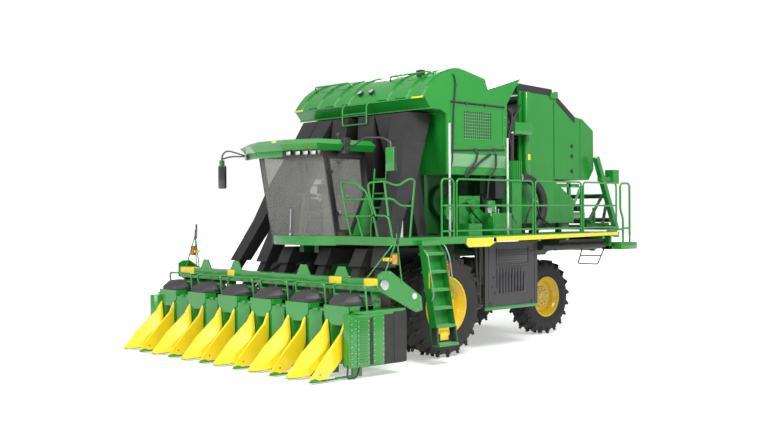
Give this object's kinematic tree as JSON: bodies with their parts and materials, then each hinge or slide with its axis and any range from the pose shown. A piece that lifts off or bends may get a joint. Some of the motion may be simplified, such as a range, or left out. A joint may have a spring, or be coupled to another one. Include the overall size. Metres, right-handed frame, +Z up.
{
  "type": "self-propelled cotton picker machine",
  "caption": "Six-row cotton picker with a low picking header, tall black air ducts, raised cab, walkways, accumulator and a rear round module chamber on dual front wheels.",
  "frame": {"origin": "on the ground under the middle of the whole outline, between the wheels", "axes": "+X to the machine's left, -Y forward to the picking header, +Z up"},
  "size_m": [6.15, 10.0134, 5.366],
  "materials": {
    "green_paint": "gloss",
    "yellow_paint": "gloss",
    "black_paint": "satin",
    "steel": "satin",
    "cast_engine": "matte",
    "black_rubber": "matte",
    "tyre_rubber": "matte",
    "tinted_glass": "clear",
    "seat_cloth": "matte",
    "cab_plastic": "matte",
    "lamp_glass": "clear",
    "white_plastic": "satin"
  },
  "bodies": {
    "chassis": {"main_frame": "green_paint", "front_axle": "green_paint", "rear_axle": "green_paint", "accumulator_sides": "green_paint", "accumulator_front": "green_paint", "accumulator_shell": "green_paint", "screen_panels": "green_paint", "chamber_sides": "green_paint", "cab_floor": "green_paint", "cab_frame": "green_paint", "cab_roof": "green_paint", "platforms": "green_paint", "railings": "green_paint", "access_ladder": "green_paint", "rear_steps": "green_paint", "roof_ladder": "green_paint", "cooler_boxes": "green_paint", "upper_ducts": "black_paint", "mirrors": "black_paint", "belly_tanks": "black_paint", "engine_side_panels": "black_paint", "air_cleaner": "black_paint", "chamber_rollers": "steel", "engine_block": "cast_engine", "bay_hoses": "black_rubber", "windscreen": "tinted_glass", "cab_panes": "tinted_glass", "seat": "seat_cloth", "console": "cab_plastic", "roof_lamps": "lamp_glass", "hood_lamps": "lamp_glass", "washer_tank": "white_plastic"},
    "header": {"toolbar": "green_paint", "lift_arms": "green_paint", "unit_housings": "green_paint", "unit_decks": "green_paint", "unit_hoods": "black_paint", "unit_hoops": "green_paint", "divider_points": "yellow_paint", "divider_shoes": "steel", "rear_curtains": "black_rubber", "end_plates": "green_paint", "header_masts": "green_paint", "suction_boots": "black_rubber"},
    "door": {"cab_door": "black_paint", "door_pane": "tinted_glass"},
    "gate": {"rear_gate": "green_paint"},
    "handler": {"module_handler": "green_paint"},
    "front_wheels_left": {"front_tyres_left": "tyre_rubber", "front_rims_left": "yellow_paint"},
    "front_wheels_right": {"front_tyres_right": "tyre_rubber", "front_rims_right": "yellow_paint"},
    "steer_left": {"knuckle_left": "steel"},
    "steer_right": {"knuckle_right": "steel"},
    "rear_wheel_left": {"rear_tyre_left": "tyre_rubber", "rear_rim_left": "yellow_paint"},
    "rear_wheel_right": {"rear_tyre_right": "tyre_rubber", "rear_rim_right": "yellow_paint"}
  },
  "joints": [
    {"name": "header_lift", "type": "hinge", "parent": "chassis", "child": "header", "pos_m": [0, -1.90174, 1.3], "axis": [-1, 0, 0], "range_deg": [0, 10]},
    {"name": "gate_lift", "type": "hinge", "parent": "chassis", "child": "gate", "pos_m": [0, 2.74826, 5.11], "axis": [1, 0, 0], "range_deg": [0, 60]},
    {"name": "handler_fold", "type": "hinge", "parent": "chassis", "child": "handler", "pos_m": [0, 3.93826, 1.83], "axis": [-1, 0, 0], "range_deg": [0, 60]},
    {"name": "steering_left", "type": "hinge", "parent": "chassis", "child": "steer_left", "pos_m": [0.64, 2.87826, 0.8], "axis": [0, 0, 1], "range_deg": [-30, 30]},
    {"name": "steering_right", "type": "hinge", "parent": "chassis", "child": "steer_right", "pos_m": [-0.64, 2.87826, 0.8], "axis": [0, 0, 1], "range_deg": [-30, 30]},
    {"name": "front_wheel_left", "type": "hinge", "parent": "chassis", "child": "front_wheels_left", "pos_m": [1.524, -1.35174, 0.945], "axis": [1, 0, 0], "continuous": true},
    {"name": "front_wheel_right", "type": "hinge", "parent": "chassis", "child": "front_wheels_right", "pos_m": [-1.524, -1.35174, 0.945], "axis": [1, 0, 0], "continuous": true},
    {"name": "rear_wheel_left", "type": "hinge", "parent": "steer_left", "child": "rear_wheel_left", "pos_m": [1.03, 2.87826, 0.8], "axis": [1, 0, 0], "continuous": true},
    {"name": "rear_wheel_right", "type": "hinge", "parent": "steer_right", "child": "rear_wheel_right", "pos_m": [-1.03, 2.87826, 0.8], "axis": [1, 0, 0], "continuous": true},
    {"name": "cab_door_swing", "type": "hinge", "parent": "chassis", "child": "door", "pos_m": [0.975, -2.92362, 3], "axis": [0, 0.1851, -0.9827], "range_deg": [0, 70]}
  ],
  "couplings": [
    {"joint": "steering_right", "follows": "steering_left", "ratio": 1}
  ]
}
